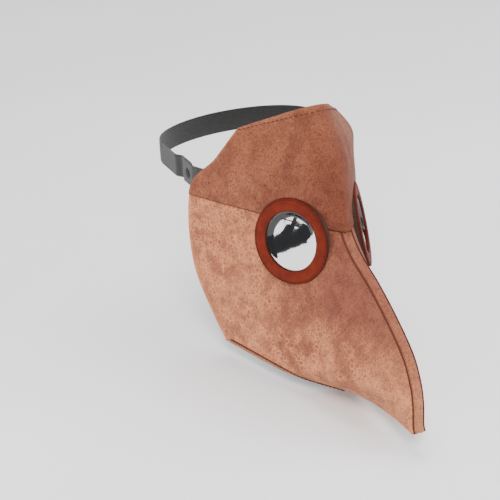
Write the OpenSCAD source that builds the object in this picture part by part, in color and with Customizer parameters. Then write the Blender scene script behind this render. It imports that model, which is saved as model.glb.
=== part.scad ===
// Plague doctor mask: a foam-backed suede half mask with a long hooked beak.
//
// Origin: midway between the centres of the two eye windows.
// +X is the wearer's left, -Y is forward and +Z is up.
// Each half of the mask is one curved surface, made of ribs that run from the
// centre line back to the mask's edge. Every fabric layer follows that surface.

/* [Face] */
// Distance between the centres of the eye windows
eye_spacing = 66; // [60:1:70]
// Width of the mask across the temples
temple_w = 154; // [148:1:162]
// Width between the two jaw corners
jaw_w = 132; // [124:1:140]
// Width between the upper corners of the forehead
brow_w = 87; // [81:1:95]
// Distance from the eye windows back to the temple edge
temple_back = 98; // [92:1:104]
// Height of the forehead's middle above the eyes
brow_rise = 101; // [95:1:107]
// Depth of the jaw corners below the eyes
jaw_drop = 112; // [106:1:118]

/* [Beak] */
// How far the beak's tip stands in front of the eyes
beak_out = 144; // [136:1:152]
// Depth of the beak's tip below the eyes
beak_drop = 107; // [106:0.5:108]
// Depth of the chin point, where the two cheeks meet
chin_drop = 123; // [122:0.5:124]
// Width of the strip that joins the cheeks along the ridge
ridge_w = 9; // [8:0.5:11]

/* [Fabric layers] */
// Thickness of the outer suede
suede_t = 1.2; // [0.8:0.1:1.4]
// Thickness of the stiffening foam
foam_t = 2; // [1.5:0.1:2.2]
// Thickness of the lining
lining_t = 0.6; // [0.4:0.1:0.8]
// Width of the turned hem along the jaw
hem_w = 7; // [5:0.5:9]

/* [Eyes] */
// Outside diameter of an eye ring
ring_d = 70; // [66:1:74]
// Diameter of the window inside a ring
window_d = 48; // [44:1:52]
// Thickness of the coloured eye ring
ring_t = 1.3; // [1:0.1:1.6]
// Thickness of the window film
film_t = 0.5; // [0.3:0.1:0.6]
// Angle of a window away from straight ahead
eye_turn = 61; // [59:1:63]
// Angle of a window above level
eye_tilt = 11; // [9:1:13]

/* [Strap] */
// Width of the elastic strap
strap_w = 20; // [15:1:25]
// Thickness of the elastic strap
strap_t = 1.4; // [1:0.1:1.8]
// Straight run of the strap behind each temple
strap_run = 30; // [28:1:40]
// Depth of the rounded back of the strap
strap_back = 44; // [40:1:60]

/* [Hidden] */

right = -1;
left = 1;
suede_colour = "#8a5a42";
rust_colour = "#a0401f";
foam_colour = "#4a342a";
lining_colour = "#2c2a29";
black_colour = "#161616";

// The forehead's suede laps this far, in ribs, over the cheeks below the bridge
lap = 0.06;
foam_bottom = -suede_t - foam_t;
lining_bottom = foam_bottom - lining_t;
// The forehead's layers sit one suede thickness further out than the cheeks'.
// This is the inner face of its lining.
brow_inner = -foam_t - lining_t;

// ---- The surface of the left half ----
//
// One row per rib, from the top of the forehead to the tip of the beak:
// [start point, edge point, flare and lean of the first control point, flare
// and reach of the second one]. A flare pushes a control point sideways. A
// lean or reach is its place along the straight line from start to edge.
// Ribs start on the centre line as far down as the bridge, and just inside
// the ridge strip's side below it.
bridge_out = 33;
bridge_rise = 17;
beside = ridge_w / 2 - 0.5;
seam_half = 5.5;
ribs = [
  [[0, 20, brow_rise], [brow_w / 2, 67, brow_rise - 25], 20, 0, 0, 0.55],
  [[0, -13, brow_rise - 39], [temple_w / 2 - 15, 73, 52], 20, 0, 2, 0.65],
  [[0, -bridge_out, bridge_rise], [temple_w / 2, temple_back, 18], 9, 0, 4, 0.7],
  [[beside, -bridge_out - 43, -13], [temple_w / 2 + 1, temple_back - 1, -52], -10, 0.25, 7, 0.7],
  [[beside, -beak_out + 23, -44], [jaw_w / 2, temple_back - 32, -jaw_drop], 0, 0.33, 7, 0.65],
  [[beside, -beak_out + 7, -66], [jaw_w / 2 - 24, -8, -jaw_drop - 2], 3, 0.33, 7, 0.6],
  [[beside, -beak_out, -beak_drop + 17], [seam_half, -46, -chin_drop], 5, 0.33, 2, 0.6],
  [[beside, -beak_out, -beak_drop], [ridge_w / 2, -beak_out + 4, -beak_drop - 2.5], 1, 0.33, 1, 0.6],
];
bridge_rib = 2;
jaw_rib = 4;
chin_rib = 6;
tip_rib = 7;

// The four control points of each rib
controls = [
  for (r = ribs)
    let (span = r[1] - r[0])
      [r[0], r[0] + span * r[3] + [r[2], 0, 0], r[0] + span * r[5] + [r[4], 0, 0], r[1]]
];

// How fast the control points move from rib to rib. At the jaw corner the edge
// point stops, so that the edge turns a sharp corner there, and at the bridge
// the start point keeps to the centre line. From the chin the edge rises, and at
// the tip it hooks down a little, so that no rib crosses the one before it.
chin_lift = 8;
tip_hook = 2;
function slope(i) =
  let (a = max(i - 1, 0), b = min(i + 1, tip_rib), s = (controls[b] - controls[a]) / (b - a))
    i == jaw_rib ? [s[0], s[1], s[2] * 0.6, s[3] * 0]
    : i == bridge_rib ? [[0, s[0][1], s[0][2]], s[1], s[2], s[3]]
    : i == chin_rib ? [s[0], s[1], s[2], s[3] + [0, 0, chin_lift]]
    : i == tip_rib ? [s[0], s[1], s[2], [s[3][0], s[3][1], -tip_hook]]
    : s;
slopes = [for (i = [0:tip_rib]) slope(i)];

// Control points at place v, a rib number that may have a fraction
function controls_at(v) =
  let (i = min(floor(v), tip_rib - 1), t = v - i)
    controls[i] * (2 * t ^ 3 - 3 * t ^ 2 + 1) + slopes[i] * (t ^ 3 - 2 * t ^ 2 + t)
    + controls[i + 1] * (3 * t ^ 2 - 2 * t ^ 3) + slopes[i + 1] * (t ^ 3 - t ^ 2);

function bezier(c, u) =
  c[0] * (1 - u) ^ 3 + 3 * c[1] * (1 - u) ^ 2 * u + 3 * c[2] * (1 - u) * u ^ 2 + c[3] * u ^ 3;

// Point at u along rib v: u is 0 on the centre line and 1 at the edge
function skin(u, v) = bezier(controls_at(v), u);

// Unit vector that points out of the surface
nudge = 0.005;
function outward(u, v) =
  let (
    u1 = min(u + nudge, 1), v1 = min(v + nudge, tip_rib),
    along = skin(u1, v) - skin(u1 - nudge, v),
    down = skin(u, v1) - skin(u, v1 - nudge),
    n = cross(along, down)
  ) -n / norm(n);

// The same place, moved out of the surface by a distance
function shell_point(u, v, out) = skin(u, v) + outward(u, v) * out;

// Where a rib reaches the ridge strip's side, found by halving
function strip_u(v, low = 0, high = 0.5, turns = 16) =
  let (mid = (low + high) / 2)
    turns == 0 ? mid
    : skin(mid, v)[0] < ridge_w / 2 ? strip_u(v, mid, high, turns - 1)
    : strip_u(v, low, mid, turns - 1);

function span_steps(from, to, count) = [for (i = [0:count]) from + (to - from) * i / count];

// ---- Solids made of a grid of points ----

// Joins rings of points, each listed the same way round, into a closed solid
module ring_solid(rings) {
  n = len(rings[0]);
  last = len(rings) - 1;
  sides = [
    for (i = [0:last - 1], j = [0:n - 1])
      let (a = i * n + j, b = i * n + (j + 1) % n, c = b + n, d = a + n)
        each [[a, b, c], [a, c, d]]
  ];
  start_cap = [for (j = [n - 1:-1:0]) j];
  end_cap = [for (j = [0:n - 1]) last * n + j];
  polyhedron([for (r = rings) each r], concat(sides, [start_cap, end_cap]), convexity = 8);
}

// Closes the space between two grids of points into a slab
module slab(outer, inner) {
  rows = len(outer);
  cols = len(outer[0]);
  half = rows * cols;
  border = concat(
    [for (j = [0:cols - 2]) j],
    [for (i = [0:rows - 2]) i * cols + cols - 1],
    [for (j = [cols - 1:-1:1]) (rows - 1) * cols + j],
    [for (i = [rows - 1:-1:1]) i * cols]
  );
  faces = [
    for (i = [0:rows - 2], j = [0:cols - 2])
      let (a = i * cols + j, b = a + 1, c = a + cols, d = c + 1)
        each [[a, b, d], [a, d, c], [half + a, half + d, half + b], [half + a, half + c, half + d]]
  ];
  walls = [
    for (k = [0:len(border) - 1])
      let (a = border[k], b = border[(k + 1) % len(border)])
        each [[a, half + a, half + b], [a, half + b, b]]
  ];
  points = concat([for (r = outer) each r], [for (r = inner) each r]);
  polyhedron(points, concat(faces, walls), convexity = 8);
}

// Draws its children on the left side as they are, or mirrored on the right side
module on_side(side) {
  if (side == left) children();
  else mirror([1, 0, 0]) children();
}

// Grid of one cheek, from the ridge strip to the edge
cheek_rows = span_steps(bridge_rib, tip_rib, 25);
cheek_cols = span_steps(0, 1, 16);
function cheek_grid(out) = [
  for (v = cheek_rows)
    let (start = strip_u(v))
      [for (k = cheek_cols) shell_point(start + (1 - start) * k, v, out)]
];

// Grid of the forehead, from edge to edge
forehead_cols = span_steps(-1, 1, 28);
forehead_rows = span_steps(0, bridge_rib, 8);
function forehead_grid(rows, out) = [
  for (v = rows)
    [for (k = forehead_cols) let (p = shell_point(abs(k), v, out)) [p[0] * (k < 0 ? -1 : 1), p[1], p[2]]]
];

module cheek_layer(side, top, bottom) {
  on_side(side) difference() {
    slab(cheek_grid(top), cheek_grid(bottom));
    eye_axis() cylinder(d = opening_d, h = reach, center = true);
  }
}

module forehead_layer(rows, top, bottom, notch_d) {
  difference() {
    slab(forehead_grid(rows, top), forehead_grid(rows, bottom));
    for (side = [right, left]) on_side(side) eye_axis() cylinder(d = notch_d, h = reach, center = true);
  }
}

// One layer of the strip along the ridge, a wedge between the two cheeks
module ridge_layer(top, bottom, crown) {
  rings = [
    for (v = cheek_rows)
      let (
        u = strip_u(v), a = shell_point(u, v, top), b = shell_point(u, v, bottom),
        out = outward(u, v), forward = [0, out[1], out[2]] / norm([out[1], out[2]])
      )
        [
          [-b[0], b[1], b[2]], [-a[0], a[1], a[2]],
          [-a[0] / 2, a[1], a[2]] + forward * crown, [a[0] / 2, a[1], a[2]] + forward * crown,
          a, b,
        ]
  ];
  ring_solid(rings);
}

// ---- Eyes ----

$fn = 96;
reach = 40;
opening_d = window_d + 4;
film_d = window_d + 12;
base_depth = 12;

// Puts its children on the left eye's axis, with the ring's outer face at z = 0
module eye_axis() {
  translate([eye_spacing / 2, 0, 0]) rotate([90 - eye_tilt, 0, eye_turn]) children();
}

module eye_ring(side) {
  color(rust_colour) on_side(side) eye_axis() translate([0, 0, -ring_t]) difference() {
    cylinder(d = ring_d, h = ring_t);
    translate([0, 0, -1]) cylinder(d = window_d, h = ring_t + 2);
  }
}

module eye_window(side) {
  color(black_colour) on_side(side) eye_axis() translate([0, 0, -ring_t - film_t])
    cylinder(d = film_d, h = film_t);
}

// The space just outside the fabric around an eye
module outside_block() {
  grids = [
    for (out = [base_depth, 0])
      [
        for (v = span_steps(0.8, jaw_rib + 0.4, 24))
          [for (u = span_steps(0.08, 0.85, 20)) shell_point(u, v, out)]
      ]
  ];
  slab(grids[0], grids[1]);
}

// The dark foam ring under the coloured one, cut to sit on the curved fabric
module eye_ring_base(side) {
  color(foam_colour) on_side(side) intersection() {
    eye_axis() difference() {
      translate([0, 0, -base_depth]) cylinder(d = ring_d, h = base_depth - ring_t);
      cylinder(d = opening_d, h = reach, center = true);
      translate([0, 0, -ring_t - film_t]) cylinder(d = film_d, h = reach);
    }
    outside_block();
  }
}

// ---- Panels ----

module forehead_panel() {
  color(suede_colour) forehead_layer(concat(forehead_rows, [bridge_rib + lap]), suede_t, 0, ring_d);
}

module forehead_foam() {
  color(foam_colour) forehead_layer(forehead_rows, 0, -foam_t, opening_d);
}

module forehead_lining() {
  color(lining_colour) forehead_layer(forehead_rows, -foam_t, brow_inner, opening_d);
}

module cheek_panel(side) {
  color(suede_colour) cheek_layer(side, 0, -suede_t);
}

module cheek_foam(side) {
  color(foam_colour) cheek_layer(side, -suede_t, foam_bottom);
}

module cheek_lining(side) {
  color(lining_colour) cheek_layer(side, foam_bottom, lining_bottom);
}

ridge_crown = 0.8;

module ridge_strip() {
  color(suede_colour) ridge_layer(0, -suede_t, ridge_crown);
}

module ridge_foam() {
  color(foam_colour) ridge_layer(-suede_t, foam_bottom, 0);
}

module ridge_lining() {
  color(lining_colour) ridge_layer(foam_bottom, lining_bottom, 0);
}

// ---- Hem ----

hem_t = 0.8;
hem_rows = [for (v = cheek_rows) if (v > jaw_rib - nudge && v < chin_rib - nudge) v];
hem_corner = 0.45;

// The hem's width at rib v: it narrows from the chin to a share of it at the jaw's corner
function hem_width(v) = hem_w * (1 - (1 - hem_corner) * (chin_rib - v) / (chin_rib - jaw_rib));

// A channel folded over the lower edge of one cheek. Ribs meet that edge at a
// slant, so the hem's reach along a rib is longer than its width.
module jaw_hem(side) {
  inner = lining_bottom;
  rings = [
    for (v = hem_rows)
      let (
        edge = skin(1, v), back = skin(1 - nudge, v), run = skin(1, v + 0.1) - edge,
        u = 1 - hem_width(v) * nudge * norm(run) / norm(cross(edge - back, run)),
        middle = (u + 1) / 2,
        down = cross(outward(1, v), run), away = down / norm(down) * hem_t
      )
        [
          edge, shell_point(1, v, inner), shell_point(middle, v, inner),
          shell_point(u, v, inner), shell_point(u, v, inner - hem_t), shell_point(middle, v, inner - hem_t),
          shell_point(1, v, inner - hem_t) + away, shell_point(1, v, hem_t) + away,
          shell_point(middle, v, hem_t), shell_point(u, v, hem_t),
          shell_point(u, v, 0), shell_point(middle, v, 0),
        ]
  ];
  color(suede_colour) on_side(side) ring_solid(rings);
}

// ---- Stitches ----

stitch_w = 0.7;

// One thread stitch from a to b: a box that lies along the two points
module stitch(a, b) {
  d = b - a;
  length = norm(d);
  translate(a) rotate([0, acos(d[2] / length), atan2(d[1], d[0])]) translate([0, 0, length / 2])
    cube([stitch_w, stitch_w, length], center = true);
}

// A dashed line just below the forehead's top edge. The reach of a stitch is
// its length as a share of the rib.
stitch_rib = 0.11;
stitch_reach = 0.022;
stitch_count = 22;
module forehead_stitches() {
  out = suede_t + stitch_w / 2;
  color(foam_colour) for (side = [right, left], k = [1:stitch_count]) {
    u = (k - 0.5) / (stitch_count + 0.5);
    on_side(side) stitch(shell_point(u, stitch_rib, out), shell_point(u + stitch_reach, stitch_rib, out));
  }
}

// ---- Strap ----

strap_z = 28;
tab_x = temple_w / 2 - 3.5;
pivot_y = temple_back + 11;
play = 0.3;
tack_d = 6;
tack_head_t = 0.6;
// Centre of the strap's thickness at the pivots and along its straight run
strap_x = tab_x - strap_t - play - strap_t / 2;
run_x = temple_w / 2 - 2;
bend_start = pivot_y + 15;
run_start = bend_start + 8;
run_end = run_start + strap_run;
// The tab's upper and lower edge follow these ribs, and its sewn end starts here
tab_rows = span_steps(1.5, 1.98, 4);
tab_starts = [0.86, 0.93, 1];

// A webbing tab: one end is sewn inside the temple, the other stands out behind it
module strap_tab(side) {
  grids = [
    for (deep = [0, strap_t])
      [
        for (i = [0:len(tab_rows) - 1])
          let (
            v = tab_rows[i],
            z = strap_z + strap_w * (0.5 - i / (len(tab_rows) - 1)),
            sewn = [for (u = tab_starts) shell_point(u, v, brow_inner - deep)],
            free = [for (y = [temple_back + 1, pivot_y + strap_w / 2]) [tab_x - deep, y, z]]
          )
            concat(sewn, free)
      ]
  ];
  color(black_colour) on_side(side) difference() {
    slab(grids[0], grids[1]);
    pivot_axis() cylinder(d = tack_d, h = temple_w * 2, center = true);
  }
}

// Turns a cylinder's axis along X, through both strap pivots
module pivot_axis() {
  translate([0, pivot_y, strap_z]) rotate([0, 90, 0]) children();
}

// Thread sewn through tab and strap: the pin that the strap swings on
module strap_tack(side) {
  inner = strap_x - strap_t / 2 - play;
  color(foam_colour) on_side(side) pivot_axis() {
    translate([0, 0, inner - tack_head_t]) cylinder(d = tack_d + 3, h = tack_head_t);
    translate([0, 0, inner - tack_head_t]) cylinder(d = tack_d, h = tab_x - inner + 2 * tack_head_t);
    translate([0, 0, tab_x]) cylinder(d = tack_d + 3, h = tack_head_t);
  }
}

// Rows of stitches that hold each tab to the forehead's lining
tab_stitch_rows = [1.56, 1.74, 1.92];
tab_stitch_starts = [0.875, 0.905, 0.935, 0.965];
tab_stitch_reach = 0.018;
stitch_bite = 0.1;
module strap_stitches() {
  out = brow_inner - strap_t - stitch_w / 2 + stitch_bite;
  color(rust_colour) for (side = [right, left], v = tab_stitch_rows, u = tab_stitch_starts)
    on_side(side) stitch(shell_point(u, v, out), shell_point(u + tab_stitch_reach, v, out));
}

// Centre line of the strap seen from above, from the left pivot to the right one
bend_steps = 6;
arc_steps = 40;
half_path = concat(
  [[strap_x, pivot_y]],
  [
    for (s = span_steps(0, 1, bend_steps))
      [strap_x + (run_x - strap_x) * (1 - cos(180 * s)) / 2, bend_start + (run_start - bend_start) * s]
  ]
);
back_arc = [
  for (a = span_steps(0, 180, arc_steps)) [run_x * cos(a), run_end + strap_back * sin(a)]
];
right_path = [for (i = [len(half_path) - 1:-1:0]) [-half_path[i][0], half_path[i][1]]];
strap_path = concat(half_path, back_arc, right_path);

// The path moved sideways, to the left of its direction
function path_beside(distance) = [
  for (i = [0:len(strap_path) - 1])
    let (
      a = strap_path[max(i - 1, 0)], b = strap_path[min(i + 1, len(strap_path) - 1)],
      d = (b - a) / norm(b - a)
    )
      strap_path[i] + [-d[1], d[0]] * distance
];

module elastic_strap() {
  inner = path_beside(strap_t / 2);
  outer = path_beside(-strap_t / 2);
  outline = concat(inner, [for (i = [len(outer) - 1:-1:0]) outer[i]]);
  color(black_colour) difference() {
    union() {
      translate([0, 0, strap_z - strap_w / 2]) linear_extrude(strap_w) polygon(outline);
      for (side = [right, left])
        translate([side * strap_x, pivot_y, strap_z]) rotate([0, 90, 0])
          cylinder(d = strap_w, h = strap_t, center = true);
    }
    pivot_axis() cylinder(d = tack_d + 2 * play, h = temple_w * 2, center = true);
  }
}

// The strap's free end, doubled back outside the left straight run
module strap_tail() {
  color(black_colour) translate([run_x + strap_t / 2, run_start, strap_z - strap_w / 2])
    cube([strap_t, run_end - run_start, strap_w]);
}

slider_l = 12;
slider_bar = 3;
slider_wall = 1.8;

// A three-bar slider: two bars pass outside the doubled strap and one inside it
module strap_slider() {
  inside_x = run_x - strap_t / 2 - play;
  outside_x = run_x + strap_t * 1.5 + play;
  middle_y = (run_start + run_end) / 2;
  half_h = strap_w / 2 + play;
  depth = outside_x - inside_x + 2 * slider_wall;
  color(black_colour) translate([0, middle_y, strap_z]) {
    for (end = [-1, 1]) {
      translate([inside_x - slider_wall, -slider_l / 2, end * (half_h + slider_wall / 2) - slider_wall / 2])
        cube([depth, slider_l, slider_wall]);
      translate([outside_x, end * (slider_l - slider_bar) / 2 - slider_bar / 2, -half_h])
        cube([slider_wall, slider_bar, 2 * half_h]);
    }
    translate([inside_x - slider_wall, -slider_bar / 2, -half_h])
      cube([slider_wall, slider_bar, 2 * half_h]);
  }
}

forehead_panel();
cheek_panel(right);  // cheek_panel_right
cheek_panel(left);  // cheek_panel_left
ridge_strip();
forehead_foam();
cheek_foam(right);  // cheek_foam_right
cheek_foam(left);  // cheek_foam_left
ridge_foam();
forehead_lining();
cheek_lining(right);  // cheek_lining_right
cheek_lining(left);  // cheek_lining_left
ridge_lining();
jaw_hem(right);  // jaw_hem_right
jaw_hem(left);  // jaw_hem_left
eye_ring(right);  // eye_ring_right
eye_ring(left);  // eye_ring_left
eye_ring_base(right);  // eye_ring_base_right
eye_ring_base(left);  // eye_ring_base_left
eye_window(right);  // eye_window_right
eye_window(left);  // eye_window_left
forehead_stitches();
strap_tab(right);  // strap_tab_right
strap_tab(left);  // strap_tab_left
strap_stitches();
strap_tack(right);  // strap_tack_right
strap_tack(left);  // strap_tack_left
elastic_strap();
strap_tail();
strap_slider();
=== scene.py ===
"""Looks of the plague doctor mask: foam-backed suede, eye rings with glossy film, and an elastic strap."""

import bmesh
import bpy
import math
import numpy as np
from mathutils import Matrix, Vector
from mathutils.bvhtree import BVHTree
from mathutils.kdtree import KDTree


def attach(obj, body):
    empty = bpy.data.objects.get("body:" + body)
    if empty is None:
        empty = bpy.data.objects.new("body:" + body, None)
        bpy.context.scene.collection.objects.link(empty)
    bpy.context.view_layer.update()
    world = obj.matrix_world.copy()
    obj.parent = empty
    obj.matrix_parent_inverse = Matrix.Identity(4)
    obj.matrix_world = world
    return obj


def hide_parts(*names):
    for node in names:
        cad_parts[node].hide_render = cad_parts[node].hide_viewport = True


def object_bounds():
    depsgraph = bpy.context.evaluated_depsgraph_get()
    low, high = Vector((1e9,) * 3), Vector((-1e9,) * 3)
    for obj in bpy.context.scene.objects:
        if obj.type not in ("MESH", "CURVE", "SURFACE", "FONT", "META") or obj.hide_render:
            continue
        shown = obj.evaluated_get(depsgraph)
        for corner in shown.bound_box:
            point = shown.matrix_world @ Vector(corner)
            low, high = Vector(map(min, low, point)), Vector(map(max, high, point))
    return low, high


MM = 0.001
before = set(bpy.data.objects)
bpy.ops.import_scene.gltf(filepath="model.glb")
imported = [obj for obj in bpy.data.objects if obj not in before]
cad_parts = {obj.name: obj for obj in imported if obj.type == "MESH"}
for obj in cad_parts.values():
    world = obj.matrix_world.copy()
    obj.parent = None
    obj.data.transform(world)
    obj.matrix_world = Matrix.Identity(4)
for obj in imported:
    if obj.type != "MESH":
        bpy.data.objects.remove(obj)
cad_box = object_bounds()
RIGHT = -1
LEFT = 1
SIDES = {"right": RIGHT, "left": LEFT}

# ---- Driving sizes of the CAD part, in millimetres ----

eye_spacing = 66
temple_w = 154
jaw_w = 132
brow_w = 87
temple_back = 98
brow_rise = 101
jaw_drop = 112
beak_out = 144
beak_drop = 107
chin_drop = 123
ridge_w = 9
suede_t = 1.2
foam_t = 2
lining_t = 0.6
hem_w = 7
hem_t = 0.8
hem_corner = 0.45
ring_d = 70
window_d = 48
ring_t = 1.3
film_t = 0.5
eye_turn = math.radians(61)
eye_tilt = math.radians(11)
strap_w = 20
strap_t = 1.4
strap_run = 30
strap_back = 44
lap = 0.06
foam_bottom = -suede_t - foam_t
lining_bottom = foam_bottom - lining_t
opening_d = window_d + 4
film_d = window_d + 12

# ---- The curved surface of the left half, the same one as in the CAD ----

bridge_out = 33
bridge_rise = 17
beside = ridge_w / 2 - 0.5
seam_half = 5.5
chin_lift = 8
tip_hook = 2
# Each rib: start, edge, flare and lean of its first control point, flare and reach of its second
RIBS = [
    [(0, 20, brow_rise), (brow_w / 2, 67, brow_rise - 25), 20, 0, 0, 0.55],
    [(0, -13, brow_rise - 39), (temple_w / 2 - 15, 73, 52), 20, 0, 2, 0.65],
    [(0, -bridge_out, bridge_rise), (temple_w / 2, temple_back, 18), 9, 0, 4, 0.7],
    [(beside, -bridge_out - 43, -13), (temple_w / 2 + 1, temple_back - 1, -52), -10, 0.25, 7, 0.7],
    [(beside, -beak_out + 23, -44), (jaw_w / 2, temple_back - 32, -jaw_drop), 0, 0.33, 7, 0.65],
    [(beside, -beak_out + 7, -66), (jaw_w / 2 - 24, -8, -jaw_drop - 2), 3, 0.33, 7, 0.6],
    [(beside, -beak_out, -beak_drop + 17), (seam_half, -46, -chin_drop), 5, 0.33, 2, 0.6],
    [(beside, -beak_out, -beak_drop), (ridge_w / 2, -beak_out + 4, -beak_drop - 2.5), 1, 0.33, 1, 0.6],
]
BRIDGE = 2
JAW = 4
CHIN = 6
TIP = 7
HEM_END = CHIN - 0.2
jaw_ease = 0.6


def rib_controls():
    """The four control points of every rib, and how fast they move from rib to rib."""
    sideways = np.array((1.0, 0, 0))
    points = []
    for start, edge, flare, lean, flare_2, reach in RIBS:
        start, edge = np.array(start, float), np.array(edge, float)
        straight = edge - start
        first = start + straight * lean + sideways * flare
        second = start + straight * reach + sideways * flare_2
        points.append((start, first, second, edge))
    points = np.array(points)
    slopes = []
    for i in range(TIP + 1):
        low, high = max(i - 1, 0), min(i + 1, TIP)
        slopes.append((points[high] - points[low]) / (high - low))
    slopes = np.array(slopes)
    slopes[JAW, 2] *= jaw_ease
    slopes[JAW, 3] = 0
    slopes[BRIDGE, 0, 0] = 0
    slopes[CHIN, 3, 2] += chin_lift
    slopes[TIP, 3, 2] = -tip_hook
    return points, slopes


CONTROLS, SLOPES = rib_controls()


def skin(u, v):
    """Points at u along rib v, for arrays of u (0 centre line, 1 edge) and v (rib number with a fraction)."""
    u, v = np.broadcast_arrays(np.asarray(u, float), np.asarray(v, float))
    rib = np.minimum(np.floor(v), TIP - 1).astype(int)
    t = (v - rib)[..., None, None]
    c = (
        CONTROLS[rib] * (2 * t**3 - 3 * t**2 + 1)
        + SLOPES[rib] * (t**3 - 2 * t**2 + t)
        + CONTROLS[rib + 1] * (3 * t**2 - 2 * t**3)
        + SLOPES[rib + 1] * (t**3 - t**2)
    )
    w = u[..., None]
    return (
        c[..., 0, :] * (1 - w) ** 3
        + 3 * c[..., 1, :] * (1 - w) ** 2 * w
        + 3 * c[..., 2, :] * (1 - w) * w**2
        + c[..., 3, :] * w**3
    )


NUDGE = 0.005


def unit(vectors):
    return vectors / np.linalg.norm(vectors, axis=-1, keepdims=True)


def outward(u, v):
    """Unit vectors that point out of the surface."""
    u_1, v_1 = np.minimum(np.add(u, NUDGE), 1), np.minimum(np.add(v, NUDGE), TIP)
    along = skin(u_1, v) - skin(u_1 - NUDGE, v)
    down = skin(u, v_1) - skin(u, v_1 - NUDGE)
    return unit(-np.cross(along, down))


def shell_point(u, v, out):
    return skin(u, v) + outward(u, v) * np.asarray(out, float)[..., None]


def strip_u(v):
    """Where ribs v reach the side of the ridge strip, by halving."""
    v = np.asarray(v, float)
    low, high = np.zeros_like(v), np.full_like(v, 0.5)
    for _ in range(20):
        middle = (low + high) / 2
        inside = skin(middle, v)[..., 0] < ridge_w / 2
        low = np.where(inside, middle, low)
        high = np.where(inside, high, middle)
    return (low + high) / 2


# ---- Meshes ----


def span(start, end, count):
    return np.linspace(start, end, count + 1)


def mirrored(points, side):
    """Points of the left half, or their mirror image on the right."""
    return np.asarray(points, float) * ((1, 1, 1) if side == LEFT else (-1, 1, 1))


def new_piece(name, points, faces, material, body="mask", smooth=True):
    """A mesh piece from points in millimetres, riding on a body."""
    mesh = bpy.data.meshes.new(name)
    mesh.from_pydata((np.asarray(points, float).reshape(-1, 3) * MM).tolist(), [], faces)
    mesh.validate()
    tidy = bmesh.new()
    tidy.from_mesh(mesh)
    bmesh.ops.remove_doubles(tidy, verts=tidy.verts, dist=1e-7)
    bmesh.ops.recalc_face_normals(tidy, faces=tidy.faces)
    tidy.to_mesh(mesh)
    tidy.free()
    mesh.polygons.foreach_set("use_smooth", [smooth] * len(mesh.polygons))
    piece = bpy.data.objects.new(name, mesh)
    bpy.context.scene.collection.objects.link(piece)
    mesh.materials.append(material)
    if body:
        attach(piece, body)
    return piece


def modify(piece, kind, **settings):
    """Runs one modifier over a piece and keeps the result as its mesh."""
    modifier = piece.modifiers.new(kind, kind)
    for key, value in settings.items():
        setattr(modifier, key, value)
    bpy.context.view_layer.update()
    final = bpy.data.meshes.new_from_object(piece.evaluated_get(bpy.context.evaluated_depsgraph_get()))
    piece.modifiers.clear()
    old = piece.data
    piece.data = final
    final.name = piece.name
    bpy.data.meshes.remove(old)


def round_edges(piece, width, segments=2, angle=50):
    size = {"width": width * MM, "segments": segments, "angle_limit": math.radians(angle)}
    modify(piece, "BEVEL", limit_method="ANGLE", **size)
    return sharpen(piece)


def sharpen(piece):
    """Keeps the creases sharp in a piece that is shaded smooth."""
    piece.data.set_sharp_from_angle(angle=math.radians(40))
    return piece


def slab(outer, inner):
    """Points and faces of a closed slab between two grids of points."""
    rows, cols = outer.shape[:2]
    half = rows * cols
    index = np.arange(half).reshape(rows, cols)
    top = np.stack([index[:-1, :-1], index[:-1, 1:], index[1:, 1:], index[1:, :-1]], -1).reshape(-1, 4)
    border = np.concatenate([index[0, :-1], index[:-1, -1], index[-1, :0:-1], index[:0:-1, 0]])
    after = np.roll(border, -1)
    walls = np.stack([border, border + half, after + half, after], -1)
    faces = np.concatenate([top, top[:, ::-1] + half, walls]).tolist()
    return np.concatenate([outer.reshape(-1, 3), inner.reshape(-1, 3)]), faces


def tube(rings, closed=False):
    """Points and faces of a solid through rings of points, capped at its ends or closed on itself."""
    rings = np.asarray(rings, float)
    count, size = rings.shape[:2]
    index = np.arange(count * size).reshape(count, size)
    ahead = np.roll(index, -1, 0) if closed else index[1:]
    here = index if closed else index[:-1]
    faces = np.stack([here, np.roll(here, -1, 1), np.roll(ahead, -1, 1), ahead], -1).reshape(-1, 4).tolist()
    if not closed:
        faces += [index[0, ::-1].tolist(), index[-1].tolist()]
    return rings.reshape(-1, 3), faces


def cut_round_hole(piece, side, diameter):
    """Cuts a round hole through a piece along an eye's axis."""
    points, faces = tube([eye_place(circle(diameter / 2, 96, depth), side) for depth in (-40, 40)])
    cutter = new_piece("cutter", points, faces, piece.data.materials[0], body=None)
    modify(piece, "BOOLEAN", operation="DIFFERENCE", solver="EXACT", object=cutter)
    bpy.data.objects.remove(cutter)


# ---- Eye frames ----

EYE_AXES = Matrix.Rotation(eye_turn, 3, "Z") @ Matrix.Rotation(math.pi / 2 - eye_tilt, 3, "X")


def circle(radius, count, depth=0.0):
    """Points of a circle in an eye's own axes, where the ring's outer face is at depth 0."""
    a = span(0, 2 * math.pi, count)[:-1]
    return np.stack([radius * np.cos(a), radius * np.sin(a), np.full_like(a, depth)], -1)


def eye_place(points, side):
    """Moves points from an eye's own axes to the mask."""
    placed = np.asarray(points, float) @ np.array(EYE_AXES).T + (eye_spacing / 2, 0, 0)
    return mirrored(placed, side)


# ---- Fabric layers ----

cheek_wave = 0.35
forehead_wave = 0.2
seam_dip = 0.45
seam_dip_reach = 1.6
suede_edge = 0.35
lining_edge = 0.15


def gentle_waves(u, v, amount):
    """A little unevenness, as hand-sewn fabric has: zero at the edges of a panel."""
    waves = (
        np.sin(9 * u + 2.3 * v)
        + 0.7 * np.sin(17 * u - 3.1 * v + 1.3)
        + 0.5 * np.sin(5 * u + 7.9 * v + 2.1)
    )
    return amount * waves * np.sin(np.pi * np.clip(u, 0, 1)) ** 0.7


CHEEK_ROWS = span(BRIDGE, TIP, 150)
# Columns stand closer together near the ridge seam and near the edge
EVEN_COLS = span(0, 1, 84)
CHEEK_COLS = 0.35 * EVEN_COLS + 0.65 * (1 - np.cos(math.pi * EVEN_COLS)) / 2


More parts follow.
